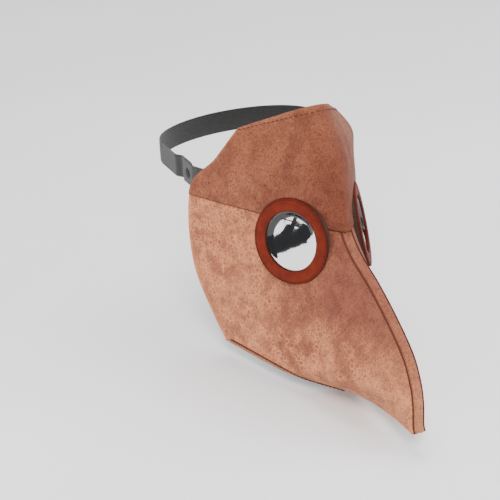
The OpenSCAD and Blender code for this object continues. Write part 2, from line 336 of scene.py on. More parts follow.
def cheek_grid(out, waves=0.0, dip=0.0):
    """Points all over one cheek, out from its surface. It dips along the ridge's seam."""
    v = CHEEK_ROWS[:, None]
    start = strip_u(CHEEK_ROWS)[:, None]
    u = start + (1 - start) * CHEEK_COLS[None, :]
    reach = np.linalg.norm(skin(u, v) - skin(start, v), axis=-1)
    offset = out + gentle_waves(u, v, waves) - dip * np.exp(-((reach / seam_dip_reach) ** 2))
    return shell_point(u, v, offset)


def forehead_grid(out, bottom_rib, waves=0.0):
    """Points all over the forehead, both sides in one, down to a rib."""
    v = span(0, bottom_rib, 64)[:, None]
    k = span(-1, 1, 132)[None, :]
    u = np.abs(k)
    points = shell_point(u, v, out + gentle_waves(u, v, waves))
    points[..., 0] *= np.where(k < 0, -1, 1)
    return points


def cheek_layer(name, side, top, bottom, material, waves=0.0, dip=0.0, edge=0.25):
    outer = mirrored(cheek_grid(top, waves, dip), side)
    inner = mirrored(cheek_grid(bottom, waves), side)
    piece = new_piece(name, *slab(outer, inner), material)
    cut_round_hole(piece, side, opening_d)
    return round_edges(piece, edge)


def forehead_layer(name, bottom_rib, top, bottom, hole_d, material, waves=0.0, edge=0.25):
    outer = forehead_grid(top, bottom_rib, waves)
    inner = forehead_grid(bottom, bottom_rib, waves)
    piece = new_piece(name, *slab(outer, inner), material)
    for side in (RIGHT, LEFT):
        cut_round_hole(piece, side, hole_d)
    return round_edges(piece, edge)


def ridge_layer(name, top, bottom, crown, material, groove=0.0, edge=0.15):
    """One layer of the strip along the ridge, with a crowned face and a groove along each side."""
    v = CHEEK_ROWS
    u = strip_u(v)
    forward = unit(outward(u, v) * (0, 1, 1))
    a, b = shell_point(u, v, top), shell_point(u, v, bottom)
    across = span(-1, 1, 14)
    rings = []
    for i in range(len(v)):
        lower = [b[i] * (-1, 1, 1), b[i]]
        upper = []
        for s in across[::-1]:
            rise = crown * (1 - s**4) - groove * math.exp(-(((1 - abs(s)) / 0.12) ** 2))
            upper.append(np.array((a[i][0] * s, a[i][1], a[i][2])) + forward[i] * rise)
        rings.append(lower + upper)
    return round_edges(new_piece(name, *tube(rings), material), edge)


# ---- Hems ----

hem_edge = 0.2
# Keeps two faces that lie on each other from showing through
hair_gap = 0.02


def hem_width(v):
    """The hem's width at rib v: it narrows from the chin to a share of it at the jaw's corner."""
    return hem_w * (1 - (1 - hem_corner) * (CHIN - v) / (CHIN - JAW))


def hem_reach(v):
    """Where on each rib the hem's upper edge lies. Ribs meet the jaw's edge at a slant."""
    edge, back = skin(1, v), skin(1 - NUDGE, v)
    run = skin(1, v + 0.1) - edge
    slant = np.linalg.norm(np.cross(edge - back, run), axis=-1) / np.linalg.norm(run, axis=-1)
    return 1 - hem_width(v) * NUDGE / slant


def hem_line(side, out=0.0, share=0.0):
    """A line along the hem: share is 0 at its upper edge and 1 at the jaw's edge."""
    v = span(JAW, HEM_END, 300)
    u = hem_reach(v)
    return mirrored(shell_point(u + (1 - u) * share, v, out), side)


def jaw_hem(name, side, material):
    """A band of suede turned over the lower edge of one cheek, with a round fold."""
    v = span(JAW, HEM_END, 96)
    u = hem_reach(v)
    edge = skin(1, v)
    out_at_edge = outward(1, v)
    away = unit(np.cross(out_at_edge, skin(1, v + 0.1) - edge))
    middle = lining_bottom / 2
    fold = (hem_t * 2 - lining_bottom) / 2
    shares = span(0, 1, 6)

    def flap(out):
        return [shell_point(u + (1 - u) * s, v, out) for s in shares]

    fold_points = [
        edge + out_at_edge * (middle + fold * math.sin(a)) + away * hem_t * math.cos(a)
        for a in span(math.pi / 2, -math.pi / 2, 8)
    ]
    columns = (
        flap(hair_gap)[::-1]
        + flap(hem_t)
        + fold_points[1:-1]
        + flap(lining_bottom - hem_t)[::-1]
        + flap(lining_bottom - hair_gap)
    )
    rings = np.stack(columns, 1)
    return round_edges(new_piece(name, *tube(mirrored(rings, side)), material), hem_edge)


# ---- Eyes ----

ring_steps = 128
ring_corner = 0.45
ring_crown = 0.35
ring_stitch_in = 1.7
ring_groove = 0.4
ring_groove_reach = 0.35
base_in = 0.5
base_bulge = 0.25
base_sink = 0.3
base_least_outer = 2.4
base_least_inner = 2.2
# The film's one soft step down, and the small folds above it
film_step = 3.0
film_step_reach = 7
film_step_rise = 1.5
film_fold = 0.42
film_fold_pitch = 17
film_held = 5


def lathe(name, side, profiles, material):
    """A ring about an eye's axis: closed profiles of (radius, depth) points, one for each angle."""
    angles = span(0, 2 * math.pi, len(profiles))[:-1]
    rings = [[(r * math.cos(a), r * math.sin(a), z) for r, z in p] for a, p in zip(angles, profiles)]
    return sharpen(new_piece(name, *tube(eye_place(rings, side), closed=True), material))


def ring_profile():
    """Section of the coloured ring: rounded edges, a slight crown and a sewn-down groove."""
    inner, outer, corner = window_d / 2, ring_d / 2, ring_corner

    def rounded(middle, start, end):
        turns = np.radians(span(start, end, 4))
        return [(middle + corner * math.cos(t), -corner + corner * math.sin(t)) for t in turns]

    points = rounded(inner + corner, 180, 90)
    for r in span(inner + corner, outer - corner, 30)[1:-1]:
        share = (r - inner) / (outer - inner)
        crown = ring_crown * math.sin(math.pi * share)
        groove = ring_groove * math.exp(-(((outer - ring_stitch_in - r) / ring_groove_reach) ** 2))
        points.append((r, crown - groove))
    return points + rounded(outer - corner, 90, 0) + [(outer, -ring_t), (inner, -ring_t)]


def fabric_depths(side, radius, count):
    """How deep below the ring's outer face the fabric lies, all around a circle."""
    cells = 90
    v = span(0.7, JAW + 0.6, cells)[:, None]
    u = span(0.05, 0.9, cells)[None, :]
    grid = mirrored(skin(u, v), side)
    points, faces = slab(grid, grid)
    tree = BVHTree.FromPolygons(points.tolist(), faces[: cells * cells])
    starts = eye_place(circle(radius, count, 0), side)
    inward = eye_place([(0, 0, -1)], side)[0] - eye_place([(0, 0, 0)], side)[0]
    above = 5
    depths = []
    for start in starts:
        hit = tree.ray_cast(Vector(start) - Vector(inward) * above, Vector(inward), 40)
        depths.append(hit[3] - above if hit[0] is not None else ring_t)
    return np.array(depths)


def eye_ring_base(name, side, material):
    """The foam ring under the coloured one, cut to sit on the curved fabric."""
    outer, seat, inner = ring_d / 2 - base_in, film_d / 2, opening_d / 2
    outer_depths = np.maximum(fabric_depths(side, outer, ring_steps) + base_sink, base_least_outer)
    inner_depths = np.maximum(fabric_depths(side, inner, ring_steps) + base_sink, base_least_inner)
    profiles = [
        [
            (outer - 0.15, -ring_t),
            (outer + base_bulge, -(ring_t + deep_out) / 2),
            (outer, -deep_out),
            (inner, -deep_in),
            (inner, -ring_t - film_t),
            (seat, -ring_t - film_t),
            (seat, -ring_t),
        ]
        for deep_out, deep_in in zip(outer_depths, inner_depths)
    ]
    return lathe(name, side, profiles, material)


def film_wave(x, y):
    """How far the thin film bends: flat below, one soft slantwise step down, small folds above."""
    slant = 0.55 * x + 0.83 * y
    step = -film_step / 2 * (1 + np.tanh((slant - film_step_rise) / film_step_reach))
    above = np.clip((y - 3) / 9, 0, 1)
    folds = film_fold * np.sin(2 * math.pi * (x + 0.3 * y) / film_fold_pitch + 1.1) * above
    return step + folds


def eye_window(name, side, material):
    """The wavy glossy film behind the ring, held flat under the ring's inner edge."""
    rings, around = 44, 160
    top, bottom = [], []
    for r in span(0, film_d / 2 - 0.1, rings)[1:]:
        free = np.clip((window_d / 2 - r) / film_held, 0, 1)
        points = circle(r, around, -ring_t - hair_gap)
        points[:, 2] += free * free * (3 - 2 * free) * film_wave(points[:, 0], points[:, 1])
        top.append(points)
        bottom.append(points - (0, 0, film_t - 0.1))
    return sharpen(new_piece(name, *tube(eye_place(top + bottom[::-1], side)), material))


# ---- Stitches ----

topstitch_w = 0.7
topstitch_pitch = 4.2
fine_stitch_w = 0.4
hem_stitch_pitch = 3.4
tab_stitch_pitch = 2.6
# A stitch's length as a share of its pitch
stitch_fill = 0.72


def stitches(name, seams, width, material):
    """Rows of stitches. Each seam is (points, outward vectors), with a stitch between two points."""
    turn = span(0, 2 * math.pi, 8)[:-1]
    points, faces = [], []
    for path, out in seams:
        for start, end, up in zip(path[:-1], path[1:], out):
            half = (end - start) / 2 * stitch_fill
            across = np.cross(up, half / np.linalg.norm(half))
            rings = []
            for t in span(-1, 1, 6):
                size = width / 2 * (1 - 0.75 * abs(t) ** 3)
                lift = width * 0.35 * (1 - t * t)
                centre = (start + end) / 2 + half * t + up * lift
                rings.append([centre + size * (math.cos(w) * across + math.sin(w) * up) for w in turn])
            ring_points, ring_faces = tube(rings)
            faces.extend([k + len(points) for k in face] for face in ring_faces)
            points.extend(ring_points.tolist())
    return new_piece(name, points, faces, material)


def run_along(path):
    """How far along a path of points each of them lies."""
    return np.concatenate([[0], np.cumsum(np.linalg.norm(np.diff(path, axis=0), axis=-1))])


def even_line(path, pitch, side):
    """A seam along a path of points, with one stitch each pitch of its length."""
    run = run_along(path)
    places = span(0, run[-1], int(run[-1] / pitch))
    points = np.stack([np.interp(places, run, path[:, k]) for k in range(3)], -1)
    out = np.cross(np.gradient(points, axis=0), (0, 0, 1)) * (1 if side == RIGHT else -1)
    return points, unit(out)


def rib_seam(start, end, v, pitch, out, side):
    """A seam along rib v, from u of start to u of end, with one stitch each pitch of its length."""
    u = span(start, end, 400)
    run = run_along(skin(u, v))
    at = np.interp(span(0, run[-1], int(run[-1] / pitch)), run, u)
    return mirrored(shell_point(at, v, out), side), mirrored(outward(at, v), side)


# ---- Strap ----

strap_z = 28
tab_x = temple_w / 2 - 3.5
pivot_y = temple_back + 11
play = 0.3
strap_x = tab_x - strap_t - play - strap_t / 2
run_x = temple_w / 2 - 2
bend_start = pivot_y + 15
run_start = bend_start + 8
run_end = run_start + strap_run
tab_inner = -foam_t - lining_t
tab_edge = 0.3
TAB_TOP = 1.5
tack_r = 3
tack_head_r = 4.4
tack_head_t = 0.9


def smooth_path(points, steps):
    """A smooth curve through points (Catmull-Rom), with steps pieces between each two."""
    points = np.asarray(points, float)
    padded = np.concatenate([[2 * points[0] - points[1]], points, [2 * points[-1] - points[-2]]])
    curve = []
    for i in range(len(points) - 1):
        a, b, c, d = padded[i : i + 4]
        for t in span(0, 1, steps)[:-1]:
            bend = (2 * a - 5 * b + 4 * c - d) * t**2 + (3 * b - a - 3 * c + d) * t**3
            curve.append((2 * b + (c - a) * t + bend) / 2)
    return np.array(curve + [points[-1]])


def band(name, path, half_heights, thickness, material, body):
    """A woven band that stands on edge along a path of (x, y, z) centre points."""
    path = np.asarray(path, float)
    ahead = unit(np.gradient(path, axis=0) * (1, 1, 0))
    aside = np.stack([-ahead[:, 1], ahead[:, 0], 0 * ahead[:, 0]], -1)
    heights = np.broadcast_to(half_heights, len(path))
    across = span(-1, 1, 20)
    rings = []
    for i in range(len(path)):
        half = thickness / 2
        rib = 0.06 * np.cos(across * math.pi * 9)
        sides = []
        for face in (1, -1):
            for s, r in zip(across[::face], rib[::face]):
                thin = half * (1 - 0.45 * abs(s) ** 12) + (r if abs(s) < 0.95 else 0)
                sides.append(path[i] + aside[i] * thin * face + np.array((0, 0, heights[i] * s)))
        rings.append(sides)
    piece = new_piece(name, *tube(rings), material, body)
    mark_weave(piece, path)
    return piece


def point_tree(points):
    """A search tree that finds the nearest of some points."""
    tree = KDTree(len(points))
    for i, p in enumerate(points):
        tree.insert(p, i)
    tree.balance()
    return tree


def mark_weave(piece, path):
    """Stores how many millimetres along a band and across it each point is, for the weave."""
    run = run_along(path)
    tree = point_tree(path * (1, 1, 0))
    along = piece.data.attributes.new("along", "FLOAT", "POINT")
    across = piece.data.attributes.new("across", "FLOAT", "POINT")
    step = unit(np.gradient(path, axis=0))
    for i, vertex in enumerate(piece.data.vertices):
        p = np.array(vertex.co) / MM
        nearest = tree.find((p[0], p[1], 0))[1]
        along.data[i].value = run[nearest] + float(np.dot((p - path[nearest])[:2], step[nearest][:2]))
        across.data[i].value = p[2] - path[nearest][2]


def strap_path():
    """Centre line of the strap from the left pivot round the back of the head to the right one."""
    start = [(strap_x, y) for y in span(pivot_y - strap_w / 2, bend_start, 30)]
    sway = (run_x - strap_x) / 2
    bend_run = run_start - bend_start
    bend = [
        (strap_x + sway * (1 - math.cos(math.pi * s)), bend_start + bend_run * s)
        for s in span(0, 1, 10)[1:]
    ]
    run = [(run_x, y) for y in span(run_start, run_end, 20)[1:]]
    arc = [(run_x * math.cos(a), run_end + strap_back * math.sin(a)) for a in span(0, math.pi, 120)[1:-1]]
    half = start + bend + run
    whole = half + arc + [(-x, y) for x, y in half[::-1]]
    return np.array([(x, y, strap_z) for x, y in whole])


def strap_half_heights(path):
    """Half the strap's width along its path: full, and rounded at the two sewn ends."""
    before = np.clip(pivot_y - path[:, 1], 0, strap_w / 2 - 0.15)
    return np.sqrt((strap_w / 2) ** 2 - before**2)


def strap_tab(name, side, material):
    """A webbing tab: one end is sewn inside the temple, the other stands out behind it."""
    v_rows = span(TAB_TOP, BRIDGE - 0.02, 14)
    grids = []
    for deep in (0, strap_t):
        rows = []
        for v in v_rows:
            share = (v - v_rows[0]) / (v_rows[-1] - v_rows[0])
            z = strap_z + strap_w * (0.5 - share)
            sewn = shell_point((0.86, 0.93, 1), v, tab_inner - deep)
            free = [(tab_x - deep, y, z) for y in (temple_back + 1, pivot_y + strap_w / 2)]
            inside = smooth_path(np.concatenate([sewn, free[:1]]), 6)
            rows.append(np.concatenate([inside, smooth_path(free, 8)[1:]]))
        grids.append(mirrored(rows, side))
    piece = new_piece(name, *slab(*grids), material)
    round_edges(piece, tab_edge)
    line = np.mean(grids[0], axis=0)
    mark_weave(piece, line)
    return piece


def strap_tack(name, side, material):
    """The round thread tack through tab and strap, with a ridged head on each face."""
    inner = strap_x - strap_t / 2 - play
    # Radius and height of the domed head, from its middle to its rim
    head = [(0.05, tack_head_t), (2.4, tack_head_t - 0.1), (tack_head_r - 0.2, 0.35), (tack_head_r, 0)]
    profile = [(r, inner - h) for r, h in head] + [(tack_r, inner), (tack_r, tab_x)]
    profile += [(r, tab_x + h) for r, h in head[::-1]]
    rings = []
    for a in span(0, 2 * math.pi, 72)[:-1]:
        ridge = 1 + 0.05 * math.cos(12 * a)
        turned = [(x, r * ridge) for r, x in profile]
        rings.append([(x, pivot_y + r * math.cos(a), strap_z + r * math.sin(a)) for x, r in turned])
    return sharpen(new_piece(name, *tube(mirrored(rings, side), closed=True), material))


def rounded_copy(name, node, width, material, body):
    """A copy of a CAD node with its sharp edges rounded."""
    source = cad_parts[node].data
    points = np.array([v.co for v in source.vertices]) / MM
    faces = [list(p.vertices) for p in source.polygons]
    piece = new_piece(name, points, faces, material, body, smooth=False)
    modify(piece, "DECIMATE", decimate_type="DISSOLVE", angle_limit=math.radians(2))
    piece.data.polygons.foreach_set("use_smooth", [True] * len(piece.data.polygons))
    return round_edges(piece, width, 3, 30)


# ---- Wear, and painted shade, near edges ----


def mark_near(piece, lines, reach, kind="wear_and_shade"):
    """Stores how close each point is to some lines: 1 on them, fading over reach millimetres."""
    ends = np.concatenate([np.asarray(line, float).reshape(-1, 3) for line in lines])
    tree = point_tree(ends)
    wear_and_shade = piece.data.attributes.new(kind, "FLOAT", "POINT")
    values = [math.exp(-((tree.find(v.co / MM)[2] / reach) ** 2)) for v in piece.data.vertices]
    wear_and_shade.data.foreach_set("value", values)


# ---- Materials ----


class Paint:
    """Builds one procedural material, node by node."""

    def __init__(self, name):
        self.material = bpy.data.materials.new(name)
        self.material.use_nodes = True
        self.tree = self.material.node_tree
        self.shader = self.tree.nodes["Principled BSDF"]
        self.place = self.tree.nodes.new("ShaderNodeTexCoord").outputs["Object"]

    def node(self, kind, inputs=None, **settings):
        made = self.tree.nodes.new("ShaderNode" + kind)
        for key, value in settings.items():
            setattr(made, key, value)
        self.fill(made, inputs or {})
        return made

    def fill(self, node, inputs):
        """Links inputs, given by name or number, to other nodes' outputs, or gives them plain values."""
        for key, value in inputs.items():
            if isinstance(value, bpy.types.NodeSocket):
                self.tree.links.new(value, node.inputs[key])
            else:
                node.inputs[key].default_value = value

    def noise(self, size, detail=3.0, roughness=0.55, distortion=0.0, vector=None):
        """Soft noise with lumps of about size millimetres."""
        inputs = {"Vector": vector or self.place, "Scale": 1 / (size * MM), "Detail": detail}
        inputs |= {"Roughness": roughness, "Distortion": distortion}
        return self.node("TexNoise", inputs).outputs["Fac"]

    def cracks(self, size, vector):
        """How far each point is from the edges between cells of about size millimetres."""
        inputs = {"Vector": vector, "Scale": 1 / (size * MM)}
        return self.node("TexVoronoi", inputs, feature="DISTANCE_TO_EDGE").outputs["Distance"]

    def along_axis(self, axis, start, end):
        """How far a point lies from start to end, in millimetres along an axis, as 0 to 1."""
        parts = self.node("SeparateXYZ", {"Vector": self.place})
        ends = {"From Min": start * MM, "From Max": end * MM}
        return self.node("MapRange", {"Value": parts.outputs[axis], **ends}).outputs["Result"]

    def stretched(self, slant, stretch):
        """Places for marks that are drawn out along a line leaning forward from upright by a slant."""
        inputs = {"Vector": self.place, "Rotation": (slant, 0, 0), "Scale": (1, 1, stretch)}
        return self.node("Mapping", inputs, vector_type="TEXTURE").outputs["Vector"]

    def warped(self, amount, size):
        """Places pushed about by noise, by up to amount millimetres, for lines that wander."""
        made = self.node("TexNoise", {"Vector": self.place, "Scale": 1 / (size * MM), "Detail": 2.0})
        middle = (0.5, 0.5, 0.5)
        centred = self.node("VectorMath", {0: made.outputs["Color"], 1: middle}, operation="SUBTRACT")
        push = {0: centred.outputs[0], "Scale": amount * MM}
        scaled = self.node("VectorMath", push, operation="SCALE")
        moved = {0: self.place, 1: scaled.outputs[0]}
        return self.node("VectorMath", moved, operation="ADD").outputs[0]

    def ramp(self, value, *stops):
        """Turns a value into a colour or level: stops are (place, colour or level)."""
        made = self.node("ValToRGB", {"Fac": value})
        ramp = made.color_ramp
        while len(ramp.elements) < len(stops):
            ramp.elements.new(0.5)
        for element, (place, colour) in zip(ramp.elements, stops):
            element.position = place
            element.color = colour if hasattr(colour, "__len__") else (colour, colour, colour, 1)
        return made.outputs["Color"]

    def math(self, operation, a, b=0.0):
        return self.node("Math", {0: a, 1: b}, operation=operation).outputs["Value"]

    def times(self, a, b):
        return self.math("MULTIPLY", a, b)

    def blend(self, a, share, b):
        """Two values added up, a with this share and b with the rest."""
        return self.math("ADD", self.times(a, share), self.times(b, 1 - share))

    def mix(self, share, a, b, blend="MIX"):
        inputs = {"Factor": share, 6: a, 7: b}
        return self.node("Mix", inputs, data_type="RGBA", blend_type=blend).outputs[2]

    def attribute(self, name):
        return self.node("Attribute", attribute_name=name).outputs["Fac"]

    def bump(self, height, depth, under=None, strength=1.0):
        """Small relief: depth is in millimetres."""
        inputs = {"Height": height, "Strength": strength, "Distance": depth * MM}
        if under is not None:
            inputs["Normal"] = under
        return self.node("Bump", inputs).outputs["Normal"]

    def finish(self, colour, roughness, normal, specular=0.5, sheen=0.0, ior=1.5):
        self.fill(self.shader, {"Base Color": colour, "Roughness": roughness, "Normal": normal})
        self.fill(self.shader, {"Specular IOR Level": specular, "IOR": ior})
        self.fill(self.shader, {"Sheen Weight": sheen, "Sheen Roughness": 0.5})
        return self.material


def rgb(red, green, blue):
    """A colour given as it looks on screen, 0 to 255, turned into Blender's linear values."""
    levels = []
    for c in (red, green, blue):
        s = c / 255
        levels.append(s / 12.92 if s <= 0.04045 else ((s + 0.055) / 1.055) ** 2.4)
    return (*levels, 1)


streak_slant = math.radians(37)
# Painted shade: the dark colour laid into sunken seams and under the forehead's lapped edge
seam_shade_colour = rgb(58, 24, 15)


def suede(name, dark, middle, gold, patina, worn=0.35):
    """Distressed faux suede: a golden patina where hands hold the mask, fine crackle, a short nap."""
    p = Paint(name)
    to_back = p.ramp(p.along_axis("Y", -70, 70), (0.25, 0.15), (0.75, 1.0))
    to_jaw = p.ramp(p.along_axis("Z", 20, -beak_drop), (0.45, 0.0), (0.8, 1.1))
    to_tip = p.ramp(p.along_axis("Y", 60 - beak_out, -beak_out), (0.0, 0.0), (0.9, 0.45))
    handled = p.math("MAXIMUM", to_back, to_jaw)
    zones = p.times(handled, p.ramp(p.noise(42, 2.0, 0.45, 0.4), (0.3, 0.3), (0.66, 1.0)))
    zones = p.math("ADD", zones, to_tip)
    cloud = p.noise(8, 5.0, 0.7, 0.3)
    streaks = p.noise(2.6, 3.0, 0.6, 0.5, p.stretched(streak_slant, 3.0))
    grain = p.noise(1.0, 3.0, 0.75)
    speck = p.noise(0.6, 1.0, 0.5)
    crackle = p.ramp(p.cracks(3.6, p.warped(4.0, 3.0)), (0.0, 1.0), (0.12, 0.4), (0.34, 0.0))
    base = p.mix(p.ramp(cloud, (0.34, 0.0), (0.66, 1.0)), dark, middle)
    fleck = p.ramp(p.blend(streaks, 0.5, grain), (0.35, 0.2), (0.67, 1.0))
    rubbed = p.times(zones, fleck)
    base = p.mix(p.times(rubbed, patina), base, gold)
    lines = p.times(crackle, p.ramp(p.noise(15, 2.0), (0.4, 0.0), (0.56, 1.0)))
    lines_in_zones = p.times(lines, handled)
    base = p.mix(p.times(lines_in_zones, patina * patina * 1.7), base, gold)
    nap = p.blend(grain, 0.6, speck)
    base = p.mix(1.0, base, p.ramp(nap, (0.34, 0.5), (0.66, 1.3)), "MULTIPLY")
    base = p.mix(p.times(p.attribute("wear_and_shade"), worn), base, gold)
    # Painted shade along the seams and under the lapped edge, where the seam mark is high
    base = p.mix(p.attribute("seam"), base, seam_shade_colour)
    relief = p.bump(nap, 0.22)
    relief = p.bump(lines, 0.12, relief, 0.6)
    relief = p.bump(cloud, 0.6, relief, 0.5)
    roughness = p.ramp(rubbed, (0.0, 0.9), (1.0, 0.68))
    return p.finish(base, roughness, relief, specular=0.2, sheen=0.03)


def plain_fabric(name, dark, light, size, depth):
    """Short-fibred fabric, such as felt or the cut edge of foam."""
    p = Paint(name)
    blotch = p.noise(size * 12, 3.0)
    fibre = p.noise(size, 3.0, 0.65, 0.4)
    base = p.mix(p.ramp(p.blend(blotch, 0.5, fibre), (0.38, 0.0), (0.62, 1.0)), dark, light)
    return p.finish(base, 0.9, p.bump(fibre, depth), specular=0.25, sheen=0.15)


def ring_suede(name, dark, light, edge_shade):
    """The coloured ring's dyed suede: even, with a fine nap, and darker edges that are painted shade where
    the ring meets the fabric and the film.
    """
    p = Paint(name)
    blotch = p.noise(9, 3.0)
    nap = p.noise(0.8, 2.0, 0.6)
    base = p.mix(p.ramp(blotch, (0.34, 0.0), (0.68, 1.0)), dark, light)
    base = p.mix(1.0, base, p.ramp(nap, (0.3, 0.8), (0.7, 1.08)), "MULTIPLY")
    # Painted shade: the ring's edges darken where it meets the fabric and the film
    base = p.mix(p.times(p.attribute("wear_and_shade"), 0.75), base, edge_shade)
    return p.finish(base, 0.85, p.bump(nap, 0.14), specular=0.15, sheen=0.03)


def film(name):
    """Glossy black window film with the faintest dust."""
    p = Paint(name)
    dust = p.ramp(p.noise(0.7, 2.0, 0.7), (0.68, 0.0), (0.78, 1.0))
    smear = p.noise(14, 2.0)
    base = p.mix(p.times(dust, 0.25), rgb(8, 8, 9), rgb(120, 118, 114))
    roughness = p.math("ADD", p.times(smear, 0.06), 0.04)
    return p.finish(base, roughness, p.bump(smear, 0.1), ior=1.6)


def woven(name, dark, light, pitch=1.1):
    """Woven elastic or webbing: ribs across the band and columns of threads along it."""
    p = Paint(name)
    along = p.times(p.attribute("along"), 2 * math.pi / pitch)
    across = p.times(p.attribute("across"), 2 * math.pi / (pitch * 1.4))
    rows = p.math("SINE", along)
    columns = p.math("SINE", across)
    fibres = p.math("ADD", p.blend(rows, 0.6, columns), p.times(p.noise(0.5, 2.0), 0.8))
    shade = p.math("ADD", p.times(fibres, 0.35), 0.35)
    base = p.mix(p.ramp(shade, (0.2, 0.0), (0.9, 1.0)), dark, light)
    return p.finish(base, 0.8, p.bump(fibres, 0.16), specular=0.3, sheen=0.2)


def thread(name, dark, light):
    """Twisted sewing thread."""
    p = Paint(name)
    twist = p.noise(0.4, 2.0, 0.6, 0.5)
    base = p.mix(p.ramp(twist, (0.35, 0.0), (0.65, 1.0)), dark, light)
    return p.finish(base, 0.7, p.bump(twist, 0.1), specular=0.2)


def moulded_plastic(name, dark, light):
    """Satin moulded plastic with a fine texture."""
    p = Paint(name)
    pits = p.noise(0.35, 2.0)
    base = p.mix(p.ramp(p.noise(6, 3.0), (0.35, 0.0), (0.7, 1.0)), dark, light)
    return p.finish(base, p.ramp(pits, (0.3, 0.32), (0.7, 0.45)), p.bump(pits, 0.03))


def painted_floor(name):
    """A plain pale studio floor with the slightest unevenness."""
    p = Paint(name)
    base = p.mix(p.ramp(p.noise(400, 3.0), (0.3, 0.0), (0.7, 1.0)), rgb(243, 243, 243), rgb(250, 250, 250))
    return p.finish(base, 0.9, p.bump(p.noise(3, 2.0), 0.02))


cheek_suede = suede("cheek_suede", rgb(98, 52, 42), rgb(124, 69, 53), rgb(213, 137, 92), 0.68)
forehead_suede = suede("forehead_suede", rgb(88, 41, 29), rgb(107, 54, 38), rgb(184, 116, 80), 0.42, 0.2)
strip_suede = suede("strip_suede", rgb(114, 63, 47), rgb(140, 82, 62), rgb(202, 134, 92), 0.5)
hem_suede = suede("hem_suede", rgb(100, 55, 42), rgb(126, 74, 57), rgb(192, 134, 100), 0.5)
# The last colour is painted shade for the ring's edges
rust_suede = ring_suede("rust_suede", rgb(84, 22, 7), rgb(106, 32, 11), rgb(34, 12, 7))
dark_foam = plain_fabric("dark_foam", rgb(40, 25, 20), rgb(66, 45, 37), 1.0, 0.2)
layer_foam = plain_fabric("layer_foam", rgb(84, 58, 46), rgb(112, 82, 66), 1.0, 0.2)
felt = plain_fabric("lining_felt", rgb(34, 31, 30), rgb(58, 54, 51), 0.7, 0.3)
glossy_film = film("glossy_film")
elastic = woven("woven_elastic", rgb(14, 14, 15), rgb(52, 51, 50))
webbing = woven("woven_webbing", rgb(16, 15, 15), rgb(58, 56, 54), 1.5)
brown_thread = thread("brown_thread", rgb(52, 26, 19), rgb(84, 44, 32))
rust_thread = thread("rust_thread", rgb(58, 20, 12), rgb(84, 28, 16))
# Painted shade: the cord colour for the shadow in sunken seams
seam_shadow_cord = thread("seam_shadow_cord", rgb(56, 24, 16), rgb(88, 38, 24))
black_thread = thread("black_thread", rgb(16, 15, 15), rgb(50, 48, 46))
slider_plastic = moulded_plastic("slider_plastic", rgb(14, 14, 15), rgb(30, 30, 31))
pale_floor = painted_floor("pale_floor")

# ---- The mask ----

WHOLE = span(0, TIP, 600)
BELOW_BRIDGE = span(BRIDGE, TIP, 500)
worn_reach = 3
seam_shade_reach = 0.7
ridge_crown = 1.1
ridge_groove = 0.9


def side_edge(side):
    """The outer edge of one half, from the brow down the temple and along the jaw to the tip."""
    return mirrored(skin(1, WHOLE), side)


def ridge_seam(side):
    """The line where one cheek meets the ridge strip."""
    return mirrored(skin(strip_u(BELOW_BRIDGE), BELOW_BRIDGE), side)


def rib_line(side, v):
    """One whole rib of one side, such as the forehead's top edge or its lap over the cheeks."""
    return mirrored(skin(span(0, 1, 200), v), side)


def declare_panel(grid):
    """Works out the middles of a panel's grid cells and how far each lies sideways from the eye's centre;
    nothing is kept or returned.
    """
    middles = (grid[:-1, :-1] + grid[1:, 1:]) / 2
    middles[..., 0] = np.abs(middles[..., 0]) - eye_spacing / 2


def make_cheek(word, side):
    """The suede, foam and felt of one cheek, and the hem along its jaw edge."""
    outside = cheek_layer(
        f"cheek_suede_{word}", side, 0, -suede_t, cheek_suede, cheek_wave, seam_dip, suede_edge
    )
    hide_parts(f"cheek_panel_{word}")
    mark_near(outside, [side_edge(side)], worn_reach)
    # Painted shade: the cheek darkens along the ridge seam and under the forehead's lapped edge
    mark_near(outside, [ridge_seam(side), rib_line(side, BRIDGE + lap)], seam_shade_reach, "seam")
    middle = cheek_layer(f"cheek_padding_{word}", side, -suede_t, foam_bottom, layer_foam)
    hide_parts(f"cheek_foam_{word}")
    declare_panel(cheek_grid(0))
    back = cheek_layer(f"cheek_felt_{word}", side, foam_bottom, lining_bottom, felt, edge=lining_edge)
    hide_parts(f"cheek_lining_{word}")
    declare_panel(cheek_grid(foam_bottom))
    hem = jaw_hem(f"jaw_hem_band_{word}", side, hem_suede)
    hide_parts(f"jaw_hem_{word}")
    mark_near(hem, [side_edge(side)], worn_reach / 2)
    # Painted shade in the groove along the hem's upper edge
    mark_near(hem, [hem_line(side)], 0.6, "seam")


def make_forehead():
    """The suede, foam and felt of the forehead, which lap over both cheeks."""
    sides = (RIGHT, LEFT)
    low_edge = BRIDGE + lap
    outside = forehead_layer(
        "forehead_suede", low_edge, suede_t, 0, ring_d, forehead_suede, forehead_wave, 0.4
    )
    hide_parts("forehead_panel")
    mark_near(outside, [side_edge(side) for side in sides] + [rib_line(side, 0) for side in sides], 2)
    # Painted shadow along the forehead's lapped lower edge
    mark_near(outside, [rib_line(side, low_edge) for side in sides], 0.8, "seam")
    middle = forehead_layer("forehead_padding", BRIDGE, 0, -foam_t, opening_d, layer_foam)
    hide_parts("forehead_foam")
    declare_panel(forehead_grid(0, low_edge))
    back = forehead_layer("forehead_felt", BRIDGE, -foam_t, tab_inner, opening_d, felt, edge=lining_edge)
    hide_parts("forehead_lining")
    declare_panel(forehead_grid(-foam_t, BRIDGE))


